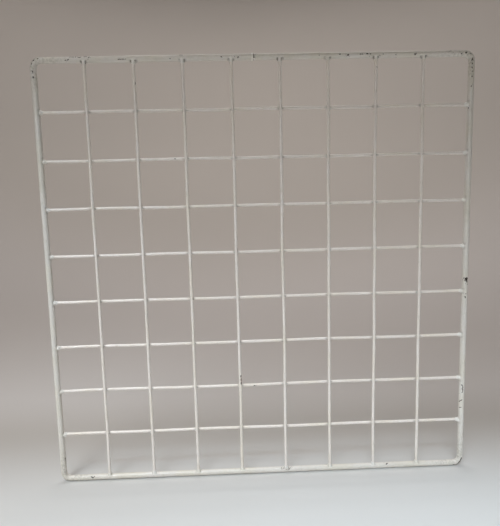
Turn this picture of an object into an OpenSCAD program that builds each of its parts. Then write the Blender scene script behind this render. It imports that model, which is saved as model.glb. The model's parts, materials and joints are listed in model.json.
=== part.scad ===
// Welded wire grid panel: one thick round rod bent to a rectangle, filled with a grid of thinner
// wires. The upright wires are the front layer and the cross wires the rear layer. They are
// pressed a little into each other and welded where they cross, and their ends are welded to the
// inner side of the rod.
//
// +Z is up, +X is to the right and the front faces -Y. The origin is the middle of the top bar,
// on the rod's centreline. The outline lies in the XZ plane. All sizes are in millimetres.

/* [Panel] */
// Overall width, measured over the rod
panel_w = 355.6; // [250:0.1:620]
// Overall height, measured over the rod
panel_h = 355.6; // [250:0.1:620]
// Number of cells from side to side
columns = 9; // [2:1:12]
// Number of cells from top to bottom
rows = 9; // [2:1:12]

/* [Rod and wires] */
// Diameter of the coated frame rod
rod_d = 5; // [4:0.1:8]
// Diameter of the coated inner wires
wire_d = 2.5; // [1.8:0.1:3.2]
// Radius of the corner bends, on the rod's centreline
bend_r = 6; // [5:0.5:12]
// Depth to which crossing wires are pressed into each other
set_down = 0.2; // [0.1:0.05:0.4]
// How far a wire's end runs down the side of the rod
end_reach = 1; // [0.5:0.1:1.5]

/* [Welds] */
// Sideways place of the butt weld, from the middle of the top bar
butt_x = -1; // [-40:0.5:40]
// Gap between the rod's two ends, which the butt weld fills
butt_gap = 0.8; // [0.4:0.1:2]
// Height of the butt weld's ridge above the rod
butt_ridge = 0.4; // [0.1:0.1:1]
// Height of the collar of an end weld above its wire
end_collar = 0.5; // [0.2:0.05:0.8]
// Height of the collar of a crossing weld above its wires
cross_collar = 0.4; // [0.2:0.05:0.8]

/* [Hidden] */
$fn = 48;

// centreline rectangle of the rod, from its middle
half_w = (panel_w - rod_d) / 2;
half_h = (panel_h - rod_d) / 2;
middle_z = -half_h;

// all cells have the same clear width and the same clear height
cell_w = (panel_w - 2 * rod_d - (columns - 1) * wire_d) / columns;
cell_h = (panel_h - 2 * rod_d - (rows - 1) * wire_d) / rows;

// the two layers stand on either side of the rod's middle plane
layer_y = (wire_d - set_down) / 2;

// the wires' ends, from the rod's centreline towards the inside
end_inset = rod_d / 2 - end_reach;

function upright_x(n) = (n - columns / 2) * (cell_w + wire_d);
function cross_z(n) = middle_z + (rows / 2 - n) * (cell_h + wire_d);

// a round bar along X, centred on the origin
module bar_x(d, length) {
    rotate([0, 90, 0])
        cylinder(d = d, h = length, center = true);
}

// a round bar along Z, centred on the origin
module bar_z(d, length) {
    cylinder(d = d, h = length, center = true);
}

// a quarter bend that joins the top and the right bar
module corner_bend() {
    translate([half_w - bend_r, 0, half_h - bend_r])
        rotate([90, 0, 0])
            rotate_extrude(angle = 90)
                translate([bend_r, 0])
                    circle(d = rod_d);
}

// the whole outline of the rod, without the gap at the butt weld
module rod_outline() {
    translate([0, 0, middle_z]) {
        for (side = [-1, 1]) {
            translate([0, 0, side * half_h])
                bar_x(rod_d, 2 * (half_w - bend_r));
            translate([side * half_w, 0, 0])
                bar_z(rod_d, 2 * (half_h - bend_r));
        }
        for (flip_x = [0, 1], flip_z = [0, 1])
            mirror([flip_x, 0, 0])
                mirror([0, 0, flip_z])
                    corner_bend();
    }
}

// plain bars along the rod's four sides, which cut the wires' ends and the welds to shape
module rod_sides() {
    translate([0, 0, middle_z])
        for (side = [-1, 1]) {
            translate([0, 0, side * half_h])
                bar_x(rod_d, panel_w);
            translate([side * half_w, 0, 0])
                bar_z(rod_d, panel_h);
        }
}

module plain_upright(n) {
    translate([upright_x(n), -layer_y, middle_z])
        bar_z(wire_d, 2 * (half_h - end_inset));
}

module plain_cross(n) {
    translate([0, layer_y, cross_z(n)])
        bar_x(wire_d, 2 * (half_w - end_inset));
}

// the rod, open by the width of the butt weld
module frame_rod() {
    color("ivory")
        difference() {
            rod_outline();
            translate([butt_x, 0, 0])
                cube([butt_gap, 2 * rod_d, 2 * rod_d], center = true);
        }
}

// a disc that fills the gap, with a low ridge all round
module butt_weld() {
    ridge_r = rod_d / 2 + butt_ridge;
    ridge_w = butt_gap + 2 * butt_ridge;
    color("gainsboro")
        difference() {
            translate([butt_x, 0, 0])
                rotate([0, 90, 0]) {
                    cylinder(r = ridge_r, h = butt_gap, center = true);
                    cylinder(r = ridge_r - butt_ridge / 2, h = ridge_w, center = true);
                }
            difference() {
                bar_x(rod_d, panel_w / 2);
                translate([butt_x, 0, 0])
                    cube([butt_gap, 2 * rod_d, 2 * rod_d], center = true);
            }
        }
}

// an upright wire, coped at both ends to sit against the rod
module upright_wire(n) {
    color("whitesmoke")
        difference() {
            plain_upright(n);
            rod_sides();
        }
}

// a cross wire, coped at both ends and notched where the uprights are pressed into it
module cross_wire(n) {
    color("white")
        difference() {
            plain_cross(n);
            rod_sides();
            for (k = [1 : columns - 1])
                plain_upright(k);
        }
}

// one collar of weld where a wire ends: the rod runs along X and the wire leaves towards +Z
module end_weld() {
    difference() {
        translate([0, -layer_y, rod_d / 2])
            sphere(d = wire_d + 2 * end_collar);
        translate([0, -layer_y, 0])
            cylinder(d = wire_d, h = 2 * rod_d);
        bar_x(rod_d, 4 * wire_d);
    }
}

// one collar of weld where an upright wire crosses a cross wire
module crossing_weld() {
    difference() {
        sphere(d = wire_d + 2 * cross_collar);
        translate([0, -layer_y, 0])
            bar_z(wire_d, 4 * wire_d);
        translate([0, layer_y, 0])
            bar_x(wire_d, 4 * wire_d);
    }
}

module crossing_welds() {
    color("lightgray")
        for (i = [1 : columns - 1], j = [1 : rows - 1])
            translate([upright_x(i), 0, cross_z(j)])
                crossing_weld();
}

module bottom_end_welds() {
    color("lightgray")
        for (n = [1 : columns - 1])
            translate([upright_x(n), 0, middle_z - half_h])
                end_weld();
}

module top_end_welds() {
    color("lightgray")
        for (n = [1 : columns - 1])
            translate([upright_x(n), 0, middle_z + half_h])
                mirror([0, 0, 1])
                    end_weld();
}

module left_end_welds() {
    color("lightgray")
        for (n = [1 : rows - 1])
            translate([-half_w, 0, cross_z(n)])
                rotate([0, 90, 0])
                    mirror([0, 1, 0])
                        end_weld();
}

module right_end_welds() {
    color("lightgray")
        for (n = [1 : rows - 1])
            translate([half_w, 0, cross_z(n)])
                rotate([0, -90, 0])
                    mirror([0, 1, 0])
                        end_weld();
}

frame_rod();
butt_weld();
for (n = [1 : columns - 1])
    upright_wire(n);
for (n = [1 : rows - 1])
    cross_wire(n);
crossing_welds();
top_end_welds();
bottom_end_welds();
left_end_welds();
right_end_welds();
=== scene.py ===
# A welded wire grid panel: one thick round rod bent to a square and filled with thinner wires, all
# under one off-white coating. Sizes are in millimetres unless a name says otherwise.
# The frame's +Z is up, +X is to the right and the front faces -Y.

import json
import math

import bpy
import numpy as np
from mathutils import Matrix, Vector


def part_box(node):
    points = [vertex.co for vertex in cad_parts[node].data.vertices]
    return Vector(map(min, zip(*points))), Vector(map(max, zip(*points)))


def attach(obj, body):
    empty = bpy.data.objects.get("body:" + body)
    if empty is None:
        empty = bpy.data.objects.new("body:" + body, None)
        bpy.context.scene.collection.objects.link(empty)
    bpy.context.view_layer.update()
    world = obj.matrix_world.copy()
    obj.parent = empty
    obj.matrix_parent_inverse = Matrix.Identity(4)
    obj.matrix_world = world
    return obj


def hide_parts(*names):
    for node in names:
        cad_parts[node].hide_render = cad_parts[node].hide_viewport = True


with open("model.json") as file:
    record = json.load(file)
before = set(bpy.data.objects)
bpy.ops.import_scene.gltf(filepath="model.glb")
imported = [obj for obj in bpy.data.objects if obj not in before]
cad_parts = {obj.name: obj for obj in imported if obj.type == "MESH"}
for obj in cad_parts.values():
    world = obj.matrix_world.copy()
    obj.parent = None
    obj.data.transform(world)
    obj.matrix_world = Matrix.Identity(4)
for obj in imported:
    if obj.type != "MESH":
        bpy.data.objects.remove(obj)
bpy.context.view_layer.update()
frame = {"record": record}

MM = 0.001  # metres in a millimetre


def node_box(node):
    """Lowest and highest corner of a CAD node, in millimetres."""
    lo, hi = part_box(node)
    return np.array(lo) / MM, np.array(hi) / MM


# ---------------------------------------------------------------- sizes, from the frame

rod_lo, rod_hi = node_box("frame_rod")
ROD_R = rod_hi[1]
SIDE_X = rod_hi[0] - ROD_R
FOOT_Z = rod_lo[2] + ROD_R
FLOOR_Z = rod_lo[2]
top_rail = next(m for m in frame["record"]["mounts"] if m["name"] == "top_rail")
BEND_R = SIDE_X - top_rail["dims"]["length_mm"] / 2

COUNT = 8  # wires each way
UPRIGHTS = [node_box(f"upright_wire_{n}") for n in range(1, COUNT + 1)]
CROSSES = [node_box(f"cross_wire_{n}") for n in range(1, COUNT + 1)]
UPRIGHT_X = [(lo[0] + hi[0]) / 2 for lo, hi in UPRIGHTS]
CROSS_Z = [(lo[2] + hi[2]) / 2 for lo, hi in CROSSES]
WIRE_R = (UPRIGHTS[0][1][0] - UPRIGHTS[0][0][0]) / 2
LAYER_Y = (CROSSES[0][0][1] + CROSSES[0][1][1]) / 2

butt_lo, butt_hi = node_box("butt_weld")
BUTT_X = (butt_lo[0] + butt_hi[0]) / 2
BUTT_R = butt_hi[2]

END_REACH = 1.0  # how far a wire's end runs past the rod's inner side
HALF_TOP = SIDE_X - BEND_R  # half of a straight bar across
SIDE_LENGTH = -FOOT_Z - 2 * BEND_R  # a straight bar down the side
BEND_LENGTH = math.pi / 2 * BEND_R
ROD_LENGTH = 4 * HALF_TOP + 2 * SIDE_LENGTH + 4 * BEND_LENGTH


# ---------------------------------------------------------------- seeded unevenness


def waves(seed, shortest, longest, count=24):
    """A smooth random field over space, about 1 high, made of plane waves of those wavelengths."""
    rng = np.random.default_rng(seed)
    direction = rng.normal(size=(count, 3))
    direction /= np.linalg.norm(direction, axis=1, keepdims=True)
    length = np.exp(rng.uniform(math.log(shortest), math.log(longest), count))
    phase = rng.uniform(0, 2 * math.pi, count)
    wave = (2 * math.pi / length)[:, None] * direction
    return lambda p: np.sin(p @ wave.T + phase).sum(-1) * math.sqrt(2 / count)


def wander(seed, shortest, longest, count=7):
    """A smooth random function of one length, between -1 and 1."""
    rng = np.random.default_rng(seed)
    length = np.exp(rng.uniform(math.log(shortest), math.log(longest), count))
    phase = rng.uniform(0, 2 * math.pi, count)
    size = length / length.sum()
    return lambda s: (size * np.sin(2 * math.pi * np.asarray(s)[..., None] / length + phase)).sum(-1)


def smooth(low, high, value):
    """0 below low, 1 above high, and smooth between; low may be the larger one."""
    t = np.clip((value - low) / (high - low), 0, 1)
    return t * t * (3 - 2 * t)


def xyz(x, y, z):
    """Points from coordinates whose arrays may differ in shape."""
    return np.stack(np.broadcast_arrays(x, y, z), -1)


def circle(count):
    """Angles that divide a full turn into equal parts."""
    return np.arange(count) * 2 * math.pi / count


coat_lumps = waves(11, 5, 14)
coat_ripple = waves(12, 1.6, 3.2)
ragged = waves(13, 0.7, 1.9, 40)
panel_warp = waves(14, 160, 420, 6)

SKIN_DIP = 0.05  # the coating's mean depth below the CAD surface


def skin(p):
    """Height of the coating over the CAD surface at points p."""
    return np.clip(0.022 * coat_lumps(p) + 0.010 * coat_ripple(p), -0.06, 0.048) - SKIN_DIP


# ---------------------------------------------------------------- where the wires run

UPRIGHT_DRIFT = [wander(100 + n, 50, 240) for n in range(COUNT)]
CROSS_DRIFT = [wander(200 + n, 50, 240) for n in range(COUNT)]
DRIFT = 0.42  # furthest sideways drift of a wire
WARP = 0.05  # the whole grid's usual drift to the front and back


def ends_fade(t, low, high):
    """1 along a wire and 0 at its welded ends."""
    fade = 25
    return smooth(0, fade, t - low) * smooth(0, fade, high - t)


def upright_line(n, z):
    """Centreline of upright n at heights z."""
    z = np.asarray(z, float)
    x = UPRIGHT_X[n] + DRIFT * UPRIGHT_DRIFT[n](z) * ends_fade(z, FOOT_Z, 0)
    p = xyz(x, 0.0, z)
    p[..., 1] = -LAYER_Y + WARP * panel_warp(p) * ends_fade(z, FOOT_Z, 0)
    return p


def cross_line(n, x):
    """Centreline of cross wire n at sideways places x."""
    x = np.asarray(x, float)
    z = CROSS_Z[n] + DRIFT * CROSS_DRIFT[n](x) * ends_fade(x, -SIDE_X, SIDE_X)
    p = xyz(x, 0.0, z)
    p[..., 1] = LAYER_Y + WARP * panel_warp(p) * ends_fade(x, -SIDE_X, SIDE_X)
    return p


def nearest(value, places):
    """Distance from each value to the nearest of the places."""
    return np.min([np.abs(value - at) for at in places], axis=0)


def crossing_grime_and_shade(points):
    """Painted shade, with some dirt, in the creases close round a crossing, where the cross wire runs
    behind the upright; 0 on the uprights' front and further away.
    """
    x, y, z = points[..., 0], points[..., 1], points[..., 2]
    away = np.sqrt(nearest(x, UPRIGHT_X) ** 2 + y ** 2 + nearest(z, CROSS_Z) ** 2)
    return 0.38 * smooth(3.7, 1.7, away) * smooth(-2.1, -0.9, y)


def end_grime_and_shade(points):
    """Painted shade, with some dirt, in the corners between a wire's end and the rod's inner side, most
    at the top bar.
    """
    x, z = points[..., 0], points[..., 2]
    at_ends = np.minimum(np.abs(z + ROD_R), np.abs(z - FOOT_Z - ROD_R))
    at_sides = np.abs(np.abs(x) - SIDE_X + ROD_R)
    least = 0.35

    def corner(beside, along):
        return smooth(0.9, 1.35, beside) * smooth(3.1, 2.1, beside) * smooth(1.7, 0.8, along)

    # the painted shade is deepest in the corners under the top bar and weakest at the feet
    shade_and_dirt = least + (1 - least) * smooth(FOOT_Z * 0.9, FOOT_Z * 0.3, z)
    uprights = shade_and_dirt * corner(nearest(x, UPRIGHT_X), at_ends)
    return np.maximum(uprights, least * corner(nearest(z, CROSS_Z), at_sides))


# ---------------------------------------------------------------- where the rod runs

rod_bow = waves(31, 140, 420, 6)
BOW = 0.16  # furthest inward bow of a straight bar
BOW_FADE = 30  # length over which the bow fades out towards a bend
FRONT = np.array([0.0, -1.0, 0.0])


def rod_frame(s):
    """Centre and outward direction of the rod at lengths s.

    s starts at the middle of the top bar and runs to the right, down, and round the panel."""
    s = np.mod(np.asarray(s, float), ROD_LENGTH)
    centre = np.zeros(s.shape + (3,))
    outward = np.zeros(s.shape + (3,))
    start, at, turn = 0.0, np.array([0.0, 0.0]), 0.0
    legs = [HALF_TOP, SIDE_LENGTH, 2 * HALF_TOP, SIDE_LENGTH, HALF_TOP]
    for leg, length in enumerate(legs):
        run = np.array([math.cos(turn), math.sin(turn)])
        out = np.array([-run[1], run[0]])
        here = (s >= start) & (s <= start + length + 1e-9)
        along = (s[here] - start)[:, None]
        flat = at + along * run
        fade = 1.0
        if leg > 0:
            fade = fade * smooth(0, BOW_FADE, along)
        if leg < 4:
            fade = fade * smooth(0, BOW_FADE, length - along)
        field = rod_bow(xyz(flat[:, 0], 0.0, flat[:, 1]))
        flat = flat - BOW * 0.5 * (1 + np.tanh(field))[:, None] * fade * out
        centre[here] = xyz(flat[:, 0], 0.0, flat[:, 1])
        outward[here] = [out[0], 0, out[1]]
        start += length
        at = at + length * run
        if leg == 4:
            break
        pivot = at - BEND_R * out
        here = (s > start) & (s < start + BEND_LENGTH)
        angle = math.atan2(out[1], out[0]) - (s[here] - start) / BEND_R
        ray = xyz(np.cos(angle), 0.0, np.sin(angle))
        centre[here] = np.array([pivot[0], 0, pivot[1]]) + BEND_R * ray
        outward[here] = ray
        start += BEND_LENGTH
        turn -= math.pi / 2
        run = np.array([math.cos(turn), math.sin(turn)])
        at = pivot + BEND_R * np.array([-run[1], run[0]])
    return centre, outward


# How far along the rod a place is: by its x on the top and bottom bars, and by its z at the sides


def on_top(x):
    return x % ROD_LENGTH


def on_right(z):
    return HALF_TOP + BEND_LENGTH - BEND_R - z


def on_bottom(x):
    return HALF_TOP + 2 * BEND_LENGTH + SIDE_LENGTH + HALF_TOP - x


def on_left(z):
    return 3 * HALF_TOP + 3 * BEND_LENGTH + SIDE_LENGTH + (z - FOOT_Z - BEND_R)


def on_bend(corner, degrees):
    """A place on a bend: corner 0 is top right, 1 to 3 follow clockwise, and 0 degrees is its start."""
    starts = [
        HALF_TOP,
        HALF_TOP + BEND_LENGTH + SIDE_LENGTH,
        3 * HALF_TOP + 2 * BEND_LENGTH + SIDE_LENGTH,
        3 * HALF_TOP + 3 * BEND_LENGTH + 2 * SIDE_LENGTH,
    ]
    return starts[corner] + BEND_LENGTH * degrees / 90


def rod_away(s, place):
    """How far past a place the lengths s are along the rod, the short way round."""
    return (s - place + ROD_LENGTH / 2) % ROD_LENGTH - ROD_LENGTH / 2


def turn_away(angle, degrees):
    """How far past a number of degrees the angles are, in radians, the short way round."""
    return np.angle(np.exp(1j * (angle - math.radians(degrees))))


# ---------------------------------------------------------------- chips in the coating


def scratch(start, start_turn, end, end_turn, width, depth, bulge=0.0):
    """A row of small chips from one place to another; bulge, in degrees, bends the row."""
    travel = math.hypot(end - start, math.radians(end_turn - start_turn) * ROD_R)
    count = max(3, int(travel / (1.1 * width)))
    chips = []
    for t in np.linspace(0, 1, count):
        place = start + (end - start) * t
        turn = start_turn + (end_turn - start_turn) * t + bulge * math.sin(math.pi * t)
        chips.append((place, turn, 1.1 * width, width, depth))
    return chips


def ragged_edge(start, end, turn, count, seed):
    """Many small chips side by side, where the coating has broken away along an edge."""
    rng = np.random.default_rng(seed)
    places = np.linspace(start, end, count) + rng.uniform(-0.5, 0.5, count)
    return [(place, turn + rng.normal() * 7, rng.uniform(0.45, 1.0), rng.uniform(0.3, 0.6), 0.13)
            for place in places]


# Each chip: place along the rod, angle round it (0 is the outer side, 90 the front, 180 the inner
# side), half length, half width and depth.
ROD_CHIPS = [
    # top bar, from left to right
    (on_top(-148.8), 109, 0.6, 0.4, 0.12),
    (on_top(-147.2), 104, 0.5, 0.4, 0.10),
    *ragged_edge(on_top(-145), on_top(-131), 45, 9, 71),
    *scratch(on_top(-108), 104, on_top(-102), 106, 0.22, 0.05),
    (on_top(-67.3), 110, 0.4, 0.35, 0.10),
    (on_top(-58.5), 40, 0.9, 0.5, 0.13),
    (on_top(-27), 95, 0.5, 0.4, 0.08),
    (on_top(-19.6), 97, 0.6, 0.4, 0.09),
    (on_top(-16.6), 94, 0.6, 0.45, 0.11),
    (on_top(-13.6), 103, 0.7, 0.45, 0.11),
    (on_top(51), 94, 0.4, 0.3, 0.08),
    (on_top(67.5), 81, 0.5, 0.5, 0.10),
    (on_top(74.1), 99, 1.0, 0.6, 0.16),
    *scratch(on_top(83.8), 84, on_top(86.2), 87, 0.25, 0.06),
    (on_top(89.6), 79, 1.0, 0.6, 0.16),
    (on_top(92), 85, 0.5, 0.35, 0.10),
    (on_top(99.7), 115, 0.5, 0.35, 0.10),
    (on_top(102.4), 90, 0.4, 0.3, 0.10),
    (on_top(112.5), 100, 0.5, 0.35, 0.10),
    (on_top(128.2), 101, 0.9, 0.55, 0.15),
    (on_top(133.5), 105, 0.5, 0.35, 0.10),
    (on_top(157.3), 46, 0.9, 0.5, 0.13),
    (on_top(166), 105, 0.8, 0.5, 0.14),
    # top right bend and right bar, downwards
    (on_bend(0, 3), 88, 0.8, 0.5, 0.14),
    (on_bend(0, 40), 70, 0.5, 0.4, 0.12),
    (on_bend(0, 80), 98, 1.3, 0.8, 0.20),
    (on_right(-8.3), 96, 0.8, 0.5, 0.14),
    (on_right(-11.3), 99, 0.9, 0.4, 0.14),
    (on_right(-14.2), 86, 0.5, 0.35, 0.12),
    (on_right(-18.3), 97, 0.6, 0.45, 0.13),
    (on_right(-26), 100, 0.6, 0.45, 0.12),
    (on_right(-42), 148, 0.9, 0.45, 0.12),
    (on_right(-183.9), 78, 0.8, 2.2, 0.24),
    (on_right(-185.2), 74, 0.9, 1.4, 0.24),
    (on_right(-186.5), 70, 0.7, 0.7, 0.20),
    (on_right(-189), 50, 0.6, 0.4, 0.12),
    (on_right(-197), 88, 0.5, 0.35, 0.10),
    (on_right(-200), 97, 0.9, 0.45, 0.13),
    *scratch(on_right(-277.8), 108, on_right(-281.4), 98, 0.3, 0.14, -12),
    *scratch(on_right(-281.4), 98, on_right(-285), 106, 0.26, 0.12, -10),
    *scratch(on_right(-291.4), 98, on_right(-293.6), 160, 0.28, 0.12),
    *scratch(on_right(-298.4), 116, on_right(-298.9), 150, 0.26, 0.10),
    # bottom right bend and bottom bar, to the left
    *scratch(on_bend(1, 8), 78, on_bend(1, 48), 66, 0.42, 0.14, 6),
    *scratch(on_bend(1, 52), 50, on_bend(1, 96), 62, 0.32, 0.12),
    (on_bottom(136.6), 150, 0.8, 0.6, 0.16),
    (on_bottom(109), 140, 0.8, 0.5, 0.12),
    *scratch(on_bottom(-148.6), 128, on_bottom(-150.2), 96, 0.28, 0.12),
    *scratch(on_bottom(-151.8), 130, on_bottom(-150.2), 96, 0.28, 0.12),
    *scratch(on_bottom(-150.2), 96, on_bottom(-150.1), 68, 0.28, 0.12),
    # left bar and top left bend, upwards
    (on_left(-332), 150, 0.7, 0.4, 0.10),
    (on_left(-13.5), 97, 1.0, 0.6, 0.16),
    (on_left(-9), 95, 0.9, 0.6, 0.16),
    (on_bend(3, 25), 62, 0.7, 0.45, 0.14),
    (on_bend(3, 48), 58, 0.8, 0.5, 0.14),
    (on_bend(3, 78), 70, 0.6, 0.4, 0.12),
]

# Lumps of weld that ran onto the rod, with a height in place of a depth
ROD_LUMPS = [
    (on_top(-59.6), 36, 0.6, 0.5, 0.14),
    (on_top(113.1), 168, 0.8, 0.5, 0.24),
    (on_bottom(15.8), 138, 0.9, 0.8, 0.34),
    (on_bottom(20.5), 130, 1.5, 1.1, 0.40),
    (on_bottom(23.8), 142, 0.7, 0.6, 0.26),
]


def rod_stations():
    """Lengths along the rod at which its rings stand: close at chips and bends, wide elsewhere."""
    coarse, bend, fine, sample = 1.8, 0.6, 0.26, 0.05
    s = np.arange(0, ROD_LENGTH, sample)
    step = np.full(s.shape, coarse)
    for corner in range(4):
        away = np.abs(s - on_bend(corner, 45)) - BEND_LENGTH / 2
        step = np.minimum(step, bend + np.clip(away, 0, None) * 0.3)
    for place, _, reach, _, _ in ROD_CHIPS + ROD_LUMPS:
        away = np.abs(rod_away(s, place)) - reach - 0.6
        step = np.minimum(step, fine + np.clip(away, 0, None) * 0.5)
    rings = np.concatenate([[0], np.cumsum(sample / step)])
    count = int(rings[-1])
    return np.interp(np.arange(count) * rings[-1] / count, rings, np.append(s, ROD_LENGTH))


def spots(along, angle, marks, softness, edge):
    """1 on each point of the rod that a mark covers, and how deep or high the marks are there."""
    mask = np.zeros(along.shape)
    amount = np.zeros(along.shape)
    for place, degrees, reach, width, most in marks:
        u = rod_away(along, place)
        near = np.abs(u) < 2 * reach + 1
        turn = turn_away(angle[near], degrees)
        far = np.hypot(u[near] / reach, turn * ROD_R / width)
        part = smooth(1 + softness, 1 - 1.2 * softness, far * (1 + 0.28 * edge[near]))
        mask[near] = np.maximum(mask[near], part)
        amount[near] = np.maximum(amount[near], most * part)
    return mask, amount


def foot_of(mask):
    """1 where a lump's skirt meets the rod, and 0 on its crown and away from it."""
    return smooth(0.0, 0.2, mask) * smooth(0.85, 0.4, mask)


# ---------------------------------------------------------------- building meshes


def mesh_piece(name, points, faces, attributes=None):
    """A smooth-shaded mesh object from points in millimetres."""
    mesh = bpy.data.meshes.new(name)
    mesh.from_pydata((np.asarray(points) * MM).tolist(), [], faces)
    for key, values in (attributes or {}).items():
        layer = mesh.attributes.new(key, "FLOAT", "POINT")
        layer.data.foreach_set("value", np.asarray(values, np.float32).ravel())
    mesh.polygons.foreach_set("use_smooth", [True] * len(mesh.polygons))
    mesh.update()
    piece = bpy.data.objects.new(name, mesh)
    bpy.context.scene.collection.objects.link(piece)
    return piece


def ring_faces(rings, around):
    """Quads between successive rings of points."""
    i = np.arange(rings - 1)[:, None] * around
    j = np.arange(around)[None, :]
    k = (j + 1) % around
    return np.stack([i + j, i + k, i + around + k, i + around + j], -1).reshape(-1, 4).tolist()


def add_caps(faces, rings, around):
    """Closes both ends of a tube with one face each."""
    last = (rings - 1) * around
    faces.append(list(range(around - 1, -1, -1)))
    faces.append(list(range(last, last + around)))


def finish_piece(piece, node, material):
    """The piece stands for its CAD node and rides on the panel's only body."""
    piece.data.materials.append(material)
    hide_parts(node)
    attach(piece, "root")


def wear_field(points):
    """Where the coating is worn: near the rod's corners, and a little everywhere."""
    to_side = np.abs(points[..., 0]) - SIDE_X
    to_end = np.minimum(points[..., 2] ** 2, (points[..., 2] - FOOT_Z) ** 2) ** 0.5
    return 0.12 + 0.88 * smooth(34, 6, np.hypot(to_side, to_end))


# ---------------------------------------------------------------- the rod


def build_rod(material):
    """The rod, from one side of the butt weld round to the other, with its chips and lumps."""
    around = 64
    gap = 0.5  # from the middle of the butt weld to the rod's end
    clear = 0.5  # from the rod's end to the next full ring
    bevel, bevel_depth = 0.15, 0.12
    s = rod_stations()
    s = s[np.abs(rod_away(s, BUTT_X)) > gap + clear]
    s = np.sort((s - BUTT_X) % ROD_LENGTH)
    first, last = [gap, gap + bevel], [ROD_LENGTH - gap - bevel, ROD_LENGTH - gap]
    s = np.concatenate([first, s, last]) + BUTT_X
    centre, outward = rod_frame(s)
    theta = circle(around)
    ray = (np.cos(theta)[None, :, None] * outward[:, None, :]
           + np.sin(theta)[None, :, None] * FRONT)
    base = centre[:, None, :] + ROD_R * ray
    along = np.broadcast_to(s[:, None], base.shape[:2])
    angle = np.broadcast_to(theta[None, :], base.shape[:2])
    edge = ragged(base)
    mask, depth = spots(along, angle, ROD_CHIPS, 0.15, edge)
    lump, height = spots(along, angle, ROD_LUMPS, 0.5, 0.4 * edge)
    radius = ROD_R + skin(base) - depth + height
    radius[[0, -1]] -= bevel_depth
    points = (centre[:, None, :] + radius[..., None] * ray).reshape(-1, 3)
    faces = ring_faces(len(s), around)
    add_caps(faces, len(s), around)
    # painted shade, with some grime, round the feet of the weld lumps and in the corners at the wires'
    # ends
    grime_and_shade = np.maximum(foot_of(lump), end_grime_and_shade(base))
    piece = mesh_piece("frame_rod_coated", points, faces,
                       {"chip": mask, "wear": wear_field(points), "grime_and_shade": grime_and_shade})
    finish_piece(piece, "frame_rod", material)


# ---------------------------------------------------------------- the butt weld


def build_butt_weld(material):
    """Two uneven collars of upset metal, with the joint line open between them."""
    around, rings = 96, 84
    left, right = BUTT_X - 2.9, BUTT_X + 1.7
    x = np.linspace(left, right, rings)[:, None]
    theta = circle(around)[None, :]
    ring = xyz(0 * x, -np.sin(theta), np.cos(theta)) * ROD_R
    place = ring + xyz(x, 0.0, 0.0)

    # u runs along the rod from the joint line: the collar before it is wide, the one after it narrow
    sway = 0.16 * waves(41, 4, 9)(ring)
    u = x - BUTT_X - sway
    wide = smooth(-2.7, -1.9, u) * smooth(-0.25, -0.6, u)
    narrow = smooth(0.25, 0.5, u) * smooth(1.6, 0.8, u)
    lumps = 1 + 0.16 * waves(42, 1.4, 3.5)(place)
    collar = (BUTT_R - ROD_R - 0.04) * np.maximum(wide * lumps, 0.75 * narrow * lumps)

    # the crack between them is deepest towards the top front and on the inner side
    crack = smooth(0.58, 0.26, np.abs(u))
    deep = 0.25 + 0.75 * smooth(0.1, 0.75, np.cos(theta - math.radians(58)))
    deep = np.maximum(deep, smooth(0.90, 0.97, np.cos(theta - math.radians(184))))
    radius = ROD_R - 0.03 + np.clip(collar, 0, BUTT_R - ROD_R) - 0.62 * crack * deep
    ends = smooth(0, 0.5, x - left) * smooth(0, 0.5, right - x)
    radius = radius - 0.22 * (1 - ends) + 0.4 * skin(place)
    points = xyz(x, -radius * np.sin(theta), radius * np.cos(theta))
    faces = ring_faces(rings, around)
    add_caps(faces, rings, around)
    chip = 1.3 * crack * smooth(0.3, 0.6, deep)
    # painted shade, with some grime, round the feet of the collars
    collar_foot_grime_and_shade = smooth(0.03, 0.08, collar) * smooth(0.26, 0.14, collar) * smooth(0.5, 0.9, np.abs(u))
    piece = mesh_piece("butt_weld_coated", points.reshape(-1, 3), faces,
                       {"chip": chip, "grime_and_shade": 0.8 * collar_foot_grime_and_shade, "wear": np.full(chip.shape, 0.4)})
    finish_piece(piece, "butt_weld", material)


# ---------------------------------------------------------------- the wires


def wire_stations(low, high, chips):
    """Lengths along a wire at which its rings stand, and how far each is drawn in at the ends."""
    round_off, spacing, fine, closest = 0.55, 1.25, 0.2, 0.05
    t = np.linspace(low + round_off, high - round_off, int((high - low) / spacing))
    for place, _, reach, _, _ in chips:
        t = np.concatenate([t, np.arange(place - reach - 0.5, place + reach + 0.5, fine)])
    t = np.sort(t)
    t = t[np.concatenate([[True], np.diff(t) > closest])]
    arc = np.linspace(0, math.pi / 2, 5)[:-1]
    before = low + round_off * (1 - np.cos(arc))
    after = high - round_off * (1 - np.cos(arc[::-1]))
    shrink = round_off * (1 - np.sin(arc))
    inset = np.concatenate([shrink, np.zeros(len(t)), shrink[::-1]])
    return np.concatenate([before, t, after]), inset


def wire_axes(line, t):
    """Directions to the side and to the front of a wire, square to it at lengths t."""
    run = line(t + 0.5) - line(t - 0.5)
    run /= np.linalg.norm(run, axis=1, keepdims=True)
    side = np.cross(FRONT, run)
    side /= np.linalg.norm(side, axis=1, keepdims=True)
    return side, np.cross(run, side)


def from_mark(t, theta, mark):
    """How far points on a wire are from the middle of a mark, where 1 is the mark's edge."""
    place, degrees, reach, width = mark[:4]
    return np.hypot((t[:, None] - place) / reach, turn_away(theta, degrees) * WIRE_R / width)


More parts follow.
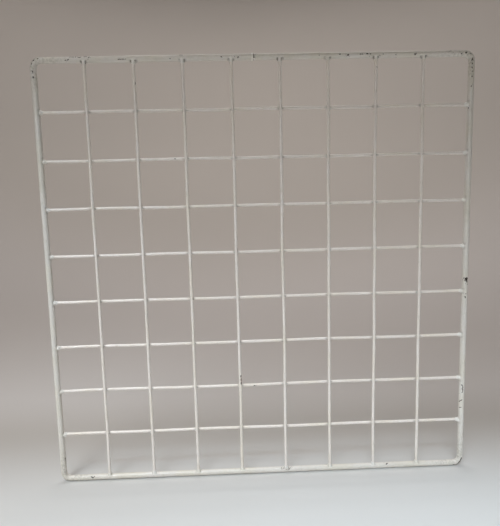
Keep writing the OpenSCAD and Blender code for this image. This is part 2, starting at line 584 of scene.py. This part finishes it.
def build_wire(node, line, ends, material, chips=(), stain=None):
    """A wire with rounded ends; line gives its centreline, and chips and stain are as in the lists."""
    around = 28
    t, inset = wire_stations(*ends, chips)
    side, front = wire_axes(line, t)
    theta = circle(around)[None, :]
    ray = (np.cos(theta)[..., None] * side[:, None, :]
           + np.sin(theta)[..., None] * front[:, None, :])
    centre = line(t)[:, None, :]
    base = centre + WIRE_R * ray
    mask, depth, rust = (np.zeros(base.shape[:2]) for _ in range(3))
    for chip in chips:
        part = smooth(1.12, 0.82, from_mark(t, theta, chip) * (1 + 0.25 * ragged(base)))
        mask = np.maximum(mask, part)
        depth = np.maximum(depth, chip[4] * part)
    if stain:
        rust = smooth(1.0, 0.3, from_mark(t, theta, stain))
    radius = WIRE_R + skin(base) - depth - inset[:, None]
    points = (centre + radius[..., None] * ray).reshape(-1, 3)
    faces = ring_faces(len(t), around)
    add_caps(faces, len(t), around)
    # painted shade, with some grime, in the creases at the crossings and in the corners at the wire's
    # ends
    grime_and_shade = np.maximum(crossing_grime_and_shade(base), end_grime_and_shade(base))
    piece = mesh_piece(f"{node}_coated", points, faces,
                       {"chip": mask, "wear": np.full(mask.shape, 0.1), "rust": rust, "grime_and_shade": grime_and_shade})
    finish_piece(piece, node, material)


# Chips on uprights: place up the wire, angle round it (0 is the left side, 90 the front, 180 the
# right side), half length, half width and depth.
UPRIGHT_CHIPS = {
    2: [(-19, 150, 0.9, 0.5, 0.12)],
    4: [(-262.8, 138, 0.8, 0.6, 0.14), (-266, 144, 1.2, 0.6, 0.14), (-269.4, 132, 1.5, 0.6, 0.14)],
    7: [(-10, 150, 0.9, 0.5, 0.12)],
}
UPRIGHT_STAINS = {4: (-267, 142, 5.0, 1.5)}  # rust: place, angle, half length and half width

# Chips on cross wires, as above, where angle 0 is the upper side and 180 the lower side.
CROSS_CHIPS = {
    2: [(-67, 92, 0.5, 0.3, 0.10)],
    7: [(-7, 138, 1.0, 0.6, 0.12)],
}


def build_wires(material):
    """All the uprights and cross wires."""
    inner = ROD_R - END_REACH
    for n in range(COUNT):
        build_wire(f"upright_wire_{n + 1}", lambda z, n=n: upright_line(n, z),
                   (FOOT_Z + inner, -inner), material,
                   UPRIGHT_CHIPS.get(n + 1, ()), UPRIGHT_STAINS.get(n + 1))
        build_wire(f"cross_wire_{n + 1}", lambda x, n=n: cross_line(n, x),
                   (-SIDE_X + inner, SIDE_X - inner), material, CROSS_CHIPS.get(n + 1, ()))


# ---------------------------------------------------------------- the welds


def cube_sphere(n):
    """Unit directions over a sphere, laid out as six n by n patches, and their quads."""
    t = np.tan(np.linspace(-math.pi / 4, math.pi / 4, n + 1))
    found, directions, quads = {}, [], []
    for axis in range(3):
        for sign in (-1, 1):
            index = np.zeros((n + 1, n + 1), int)
            for i in range(n + 1):
                for j in range(n + 1):
                    p = [0.0, 0.0, 0.0]
                    p[axis] = float(sign)
                    p[(axis + 1) % 3] = t[i] * sign
                    p[(axis + 2) % 3] = t[j]
                    key = tuple(round(v, 6) for v in p)
                    if key not in found:
                        found[key] = len(directions)
                        directions.append(p)
                    index[i, j] = found[key]
            for i in range(n):
                for j in range(n):
                    quads.append([index[i, j], index[i + 1, j], index[i + 1, j + 1], index[i, j + 1]])
    directions = np.array(directions)
    return directions / np.linalg.norm(directions, axis=1, keepdims=True), np.array(quads)


def blend_union(a, b, k):
    """Smooth union of two distances, with a fillet of about k."""
    h = np.clip(0.5 + 0.5 * (b - a) / k, 0, 1)
    return b + (a - b) * h - k * h * (1 - h)


def to_line(p, point, run):
    """Distance from points p to a straight line."""
    away = p - point
    return np.linalg.norm(away - (away @ run)[..., None] * run, axis=-1)


def surface_of(shape, centre, directions, reach):
    """The furthest points from centre, along each direction, where the shape still is."""
    halvings = 22
    inside = np.zeros(len(directions))
    outside = np.full(len(directions), reach)
    for _ in range(halvings):
        middle = (inside + outside) / 2
        solid = shape(centre + middle[:, None] * directions) < 0
        inside = np.where(solid, middle, inside)
        outside = np.where(solid, outside, middle)
    return inside


def direction_at(line, t):
    """Unit direction of a centreline at one length along it."""
    run = line(np.array([t + 0.5]))[0] - line(np.array([t - 0.5]))[0]
    return run / np.linalg.norm(run)


SINK = 0.03  # how far a weld's own surface lies under the plain wires around it


def weld_piece(node, blobs, quads, grime_and_shade, material):
    """Joins the blobs of a group of welds into one piece; the given function puts the dirt and painted
    shade at its points.
    """
    faces = []
    for index, blob in enumerate(blobs):
        faces += (quads + index * len(blob)).tolist()
    points = np.concatenate(blobs)
    piece = mesh_piece(f"{node}_coated", points, faces,
                       {"grime_and_shade": grime_and_shade(points), "wear": np.full(len(points), 0.2)})
    finish_piece(piece, node, material)


def build_crossing_welds(material):
    """The welds where uprights meet cross wires, each with a nodule of spatter at its side."""
    directions, quads = cube_sphere(14)
    rng = np.random.default_rng(51)
    blobs = []
    for i in range(COUNT):
        for j in range(COUNT):
            upright = upright_line(i, np.array([CROSS_Z[j]]))[0]
            cross = cross_line(j, np.array([UPRIGHT_X[i]]))[0]
            up = direction_at(lambda z: upright_line(i, z), CROSS_Z[j])
            over = direction_at(lambda x: cross_line(j, x), UPRIGHT_X[i])
            centre = np.array([upright[0], (upright[1] + cross[1]) / 2, cross[2]])
            fillet = rng.uniform(0.9, 1.35)
            bead = rng.uniform(1.30, 1.52)
            offset = rng.normal(size=3) * [0.16, 0.05, 0.16]
            side = rng.choice([-1, -1, 1])
            spatter = centre + [
                side * rng.uniform(1.25, 1.7),
                rng.uniform(-0.9, -0.3),
                rng.uniform(-0.9, 1.1),
            ]
            spatter_r = rng.uniform(0.35, 0.75)

            def shape(p):
                front_wire = to_line(p, upright, up) - WIRE_R
                rear_wire = to_line(p, cross, over) - WIRE_R
                wires = blend_union(front_wire, rear_wire, fillet)
                blob = np.linalg.norm(p - centre - offset, axis=-1) - bead
                blob = blend_union(blob, np.linalg.norm(p - spatter, axis=-1) - spatter_r, 0.3)
                return blend_union(wires, blob, 0.5) - skin(p) + SINK

            far = surface_of(shape, centre, directions, reach=2.7)
            blobs.append(centre + far[:, None] * directions)
    weld_piece("crossing_welds", blobs, quads, crossing_grime_and_shade, material)


ACROSS, UPWARD = np.array([1.0, 0.0, 0.0]), np.array([0.0, 0.0, 1.0])
UPRIGHT_ENDS = (upright_line, UPRIGHT_X, UPWARD, ACROSS)
CROSS_ENDS = (cross_line, CROSS_Z, ACROSS, UPWARD)

# For each side of the rod: its random seed, the wires that end there with their places, their
# direction and the rod's, which length along them is the rod's centreline, which sign leads inwards,
# and what gives a place on that side.
SIDES = {
    "top": (60, *UPRIGHT_ENDS, 0.0, -1.0, on_top),
    "bottom": (61, *UPRIGHT_ENDS, FOOT_Z, 1.0, on_bottom),
    "left": (62, *CROSS_ENDS, -SIDE_X, 1.0, on_left),
    "right": (63, *CROSS_ENDS, SIDE_X, -1.0, on_right),
}


def build_end_welds(side, material):
    """The welds where wires end on one side of the rod."""
    directions, quads = cube_sphere(16)
    seed, wire_line, places, wire_run, rod_run, end, sign, on_side = SIDES[side]
    rng = np.random.default_rng(seed)
    inward = sign * wire_run
    blobs = []
    for n in range(COUNT):

        def at(depth):
            return wire_line(n, np.array([end + sign * depth]))[0]

        rod_at = rod_frame(np.array([on_side(places[n])]))[0][0]
        tip = at(ROD_R - END_REACH)
        centre = at(1.95)
        fillet = rng.uniform(1.0, 1.4)
        bead = rng.uniform(1.75, 1.95)
        bead_at = at(rng.uniform(2.6, 3.0)) + rng.normal(size=3) * 0.06
        bead_at[1] *= 0.5  # nearer the middle plane, or it would stand out of the CAD box

        def shape(p):
            rod = to_line(p, rod_at, rod_run) - ROD_R
            wire = to_line(p, tip, inward) - WIRE_R
            wire = np.maximum(wire, -((p - tip) @ inward))
            both = blend_union(rod, wire, fillet)
            blob = np.linalg.norm(p - bead_at, axis=-1) - bead
            return blend_union(both, blob, 0.7) - skin(p) + SINK

        far = surface_of(shape, centre, directions, reach=3.6)
        blobs.append(centre + far[:, None] * directions)
    weld_piece(f"{side}_end_welds", blobs, quads, end_grime_and_shade, material)


# ---------------------------------------------------------------- materials


class Nodes:
    """Short names for building a material's nodes."""

    def __init__(self, name):
        self.material = bpy.data.materials.new(name)
        self.material.use_nodes = True
        self.tree = self.material.node_tree
        self.shader = self.tree.nodes["Principled BSDF"]
        self.place = self.new("ShaderNodeTexCoord").outputs["Object"]

    def new(self, kind, **settings):
        node = self.tree.nodes.new(kind)
        for key, value in settings.items():
            setattr(node, key, value)
        return node

    def link(self, source, target):
        self.tree.links.new(source, target)

    def noise(self, size, detail=3.0, roughness=0.55):
        """Noise with features of about that size, in millimetres."""
        node = self.new("ShaderNodeTexNoise")
        node.inputs["Scale"].default_value = 1 / (size * MM)
        node.inputs["Detail"].default_value = detail
        node.inputs["Roughness"].default_value = roughness
        self.link(self.place, node.inputs["Vector"])
        return node.outputs["Fac"]

    def attribute(self, name):
        return self.new("ShaderNodeAttribute", attribute_name=name).outputs["Fac"]

    def math(self, operation, a, b):
        node = self.new("ShaderNodeMath", operation=operation)
        for socket, value in zip(node.inputs, (a, b)):
            if isinstance(value, (int, float)):
                socket.default_value = value
            else:
                self.link(value, socket)
        return node.outputs[0]

    def range(self, value, low, high, to_low=0.0, to_high=1.0):
        node = self.new("ShaderNodeMapRange", interpolation_type="SMOOTHSTEP")
        self.link(value, node.inputs["Value"])
        limits = {"From Min": low, "From Max": high, "To Min": to_low, "To Max": to_high}
        for key, number in limits.items():
            node.inputs[key].default_value = number
        return node.outputs["Result"]

    def mix(self, amount, a, b):
        """A colour between a and b."""
        node = self.new("ShaderNodeMix", data_type="RGBA")
        self.link(amount, node.inputs[0])
        for socket, value in ((node.inputs[6], a), (node.inputs[7], b)):
            if isinstance(value, tuple):
                socket.default_value = (*value, 1.0)
            else:
                self.link(value, socket)
        return node.outputs[2]


def dirt_shade_and_rust_colour(n, tint, wear):
    """The coating's colour, with handling dirt where it's worn, painted shade and grime in creases and
    corners, and rust.
    """
    warm = tuple(c * f for c, f in zip(tint, (0.97, 0.962, 0.91)))
    dull = tuple(c * f for c, f in zip(tint, (0.88, 0.885, 0.84)))
    colour = n.mix(n.range(n.noise(34), 0.40, 0.66), tint, warm)
    colour = n.mix(n.range(n.noise(4.5, 4.0), 0.52, 0.74, 0.0, 0.6), colour, dull)

    # grey handling dirt, rubbed in along the worn stretches
    rubbed = n.math("MULTIPLY", wear, n.range(n.noise(2.2, 5.0, 0.65), 0.44, 0.62))
    colour = n.mix(n.math("MULTIPLY", rubbed, 0.5), colour, (0.36, 0.35, 0.30))

    # painted shade, with some grime, in the creases of the welds and the corners at the wires' ends,
    # patchy
    crease_shade_and_grime = n.math("MULTIPLY", n.attribute("grime_and_shade"), n.range(n.noise(3.0, 4.0), 0.34, 0.60, 0.4, 1.0))
    colour = n.mix(n.math("MULTIPLY", crease_shade_and_grime, 0.85), colour, (0.13, 0.115, 0.09))

    # a rust stain that has spread under and over the coating
    stain = n.math("MULTIPLY", n.attribute("rust"), n.range(n.noise(1.6, 5.0, 0.7), 0.34, 0.62))
    return n.mix(n.math("MULTIPLY", stain, 0.8), colour, (0.30, 0.17, 0.09))


def bare_spots(n, wear):
    """1 where the coating is gone: in the mesh's chips, and in specks, more of them where it's worn."""
    fleck = n.math("ADD", n.noise(0.9, 5.0, 0.7), n.math("MULTIPLY", wear, 0.10))
    fleck = n.range(fleck, 0.755, 0.79)

    # the edges of the chips are broken up by noise
    broken = n.math("MULTIPLY", n.math("SUBTRACT", n.noise(0.5, 4.0), 0.5), 0.8)
    chip = n.range(n.math("ADD", n.attribute("chip"), broken), 0.40, 0.50)
    return n.math("MAXIMUM", chip, fleck)


def coating(name, tint):
    """Off-white coating over steel, slightly uneven, with dirt, rust and bare metal."""
    n = Nodes(name)
    wear = n.attribute("wear")
    bare = bare_spots(n, wear)
    metal = n.mix(n.range(n.noise(0.8, 5.0), 0.46, 0.66), (0.020, 0.018, 0.017), (0.12, 0.065, 0.035))
    n.link(n.mix(bare, dirt_shade_and_rust_colour(n, tint, wear), metal), n.shader.inputs["Base Color"])

    rough = n.range(n.noise(6.0, 4.0), 0.35, 0.70, 0.28, 0.42)
    rough = n.math("ADD", rough, n.math("MULTIPLY", bare, 0.35))
    n.link(rough, n.shader.inputs["Roughness"])
    n.shader.inputs["IOR"].default_value = 1.5
    n.shader.inputs["Coat Weight"].default_value = 0.20
    n.shader.inputs["Coat Roughness"].default_value = 0.18

    # orange peel, with pits where the coating is gone
    coarse = n.math("MULTIPLY", n.noise(1.3, 1.5), 1.6)
    fine = n.math("MULTIPLY", n.noise(0.4, 3.0), 0.30)
    height = n.math("SUBTRACT", n.math("ADD", coarse, fine), n.math("MULTIPLY", bare, 1.6))
    bump = n.new("ShaderNodeBump")
    bump.inputs["Strength"].default_value = 0.55
    bump.inputs["Distance"].default_value = 0.12 * MM
    n.link(height, bump.inputs["Height"])
    n.link(bump.outputs["Normal"], n.shader.inputs["Normal"])
    return n.material


def studio_surface():
    """The matt floor: whitest in front, warmer behind the panel, and paler again low and high up; the
    paler bands are painted light that makes up for the lamps falling off.
    """
    n = Nodes("studio_surface")
    where = n.new("ShaderNodeSeparateXYZ")
    n.link(n.place, where.inputs[0])
    behind = n.range(where.outputs["Y"], -130 * MM, 110 * MM)
    # painted light: a paler band on the floor behind the panel, and a paler wall higher up, where the
    # lamps' light falls off
    low = n.math("MULTIPLY", n.range(where.outputs["Y"], 60 * MM, 200 * MM),
                 n.range(where.outputs["Y"], 1000 * MM, 520 * MM))
    high = n.range(where.outputs["Z"], (FLOOR_Z + 460) * MM, (FLOOR_Z + 1080) * MM)
    colour = n.mix(behind, (0.90, 0.945, 0.97), (0.44, 0.405, 0.373))
    colour = n.mix(low, colour, (0.57, 0.535, 0.513))
    colour = n.mix(n.math("MULTIPLY", behind, high), colour, (0.64, 0.59, 0.545))
    n.link(n.mix(n.range(n.noise(420), 0.3, 0.7, 0.0, 0.06), colour, (0.40, 0.37, 0.34)),
           n.shader.inputs["Base Color"])
    n.shader.inputs["Roughness"].default_value = 0.95
    n.shader.inputs["Specular IOR Level"].default_value = 0.15
    return n.material


# ---------------------------------------------------------------- stage, light and camera


def build_sweep():
    """A round floor that curves up into a wall all round, far enough out to look round the panel."""
    flat, bend, wall = 320, 1150, 900
    angle = np.linspace(math.pi / 2, 0, 40)
    radius = np.concatenate([[flat + bend], flat + bend * np.sin(angle), [180, 60]])
    height = np.concatenate([[bend + wall], bend * (1 - np.cos(angle)), [0, 0]]) + FLOOR_Z
    around = 96
    turn = circle(around)[None, :]
    points = xyz(radius[:, None] * np.cos(turn), radius[:, None] * np.sin(turn), height[:, None])
    points = points.reshape(-1, 3)
    faces = ring_faces(len(radius), around)
    faces.append(list(range(len(points) - around, len(points))))
    floor = mesh_piece("studio_sweep", points, faces)
    floor.data.materials.append(studio_surface())


def add_light(name, place, target, size, watts, spread, colour):
    """A soft lamp, aimed at a point; size is its width and height, and spread its beam in degrees."""
    lamp = bpy.data.lights.new(name, "AREA")
    lamp.shape = "RECTANGLE"
    lamp.size, lamp.size_y = (side * MM for side in size)
    lamp.energy = watts
    lamp.spread = math.radians(spread)
    lamp.color = colour
    holder = bpy.data.objects.new(name, lamp)
    holder.location = Vector(place) * MM
    holder.rotation_euler = (Vector(target) - Vector(place)).to_track_quat("-Z", "Y").to_euler()
    holder.visible_camera = False
    bpy.context.scene.collection.objects.link(holder)


def build_light():
    """Soft lamps in front, a lamp behind the panel, and one over the sweep."""
    sunny, sunset, sky = (1.0, 0.90, 0.80), (1.0, 0.92, 0.82), (0.70, 0.87, 1.0)
    neutral, pale = (1.0, 0.96, 0.92), (1.0, 0.965, 0.945)
    middle_z = FOOT_Z / 2
    add_light("key_light", (-300, -750, 1050), (-70, -230, FOOT_Z), (2000, 400), 1.20, 35, sunny)
    add_light("low_light", (-200, -480, 330), (-30, -10, -290), (900, 100), 0.30, 34, sky)
    add_light("front_light", (-260, -840, 60), (60, 0, FOOT_Z * 0.78), (900, 160), 0.28, 42, neutral)
    add_light("top_light", (-60, -700, 20), (0, 0, 90), (800, 60), 0.085, 22, sunset)
    add_light("back_light", (0, 420, 420), (0, 0, middle_z), (700, 100), 0.25, 90, neutral)
    add_light("backdrop_light", (0, 520, 900), (0, 1000, -220), (1550, 500), 5.95, 125, pale)
    world = bpy.data.worlds.new("studio_air")
    world.use_nodes = True
    background = world.node_tree.nodes["Background"]
    background.inputs["Color"].default_value = (1.0, 0.94, 0.88, 1.0)
    background.inputs["Strength"].default_value = 0.06
    bpy.context.scene.world = world
    bpy.context.scene.view_settings.view_transform = "Standard"


def build_camera():
    """The camera stands a forearm's length in front, a little above the middle, and looks down."""
    distance, turn, tilt, roll = 402.9, math.radians(1.68), math.radians(-7.0), math.radians(-1.44)
    aim = Vector((-8.2, 0, FOOT_Z / 2 + 9.8))
    ahead = Vector((math.sin(turn) * math.cos(tilt), math.cos(turn) * math.cos(tilt), math.sin(tilt)))
    level = ahead.cross(Vector((0, 0, 1))).normalized()
    upright = level.cross(ahead)
    right = level * math.cos(roll) + upright * math.sin(roll)
    up = right.cross(ahead)
    data = bpy.data.cameras.new("camera")
    data.lens = 32.85
    data.clip_start = 0.01
    camera = bpy.data.objects.new("camera", data)
    axes = Matrix((right, up, -ahead)).transposed()
    camera.matrix_world = Matrix.Translation((aim - ahead * distance) * MM) @ axes.to_4x4()
    bpy.context.scene.collection.objects.link(camera)
    bpy.context.scene.camera = camera


# ---------------------------------------------------------------- the scene

build_camera()
build_sweep()
build_light()

# one coating in four tints: the end and butt welds' lighter tint is a painted highlight, the crossing
# welds' duller tint is painted shade, and the rod's tint, darker than the wires', is partly painted
# shade
rod_coat = coating("rod_coating", (0.76, 0.733, 0.695))
wire_coat = coating("wire_coating", (0.875, 0.825, 0.785))
weld_coat = coating("weld_coating", (0.90, 0.885, 0.855))
spot_coat = coating("spot_weld_coating", (0.78, 0.76, 0.725))

build_rod(rod_coat)
build_butt_weld(weld_coat)
build_wires(wire_coat)
build_crossing_welds(spot_coat)
for side in ("top", "bottom", "left", "right"):
    build_end_welds(side, weld_coat)

bpy.context.view_layer.update()
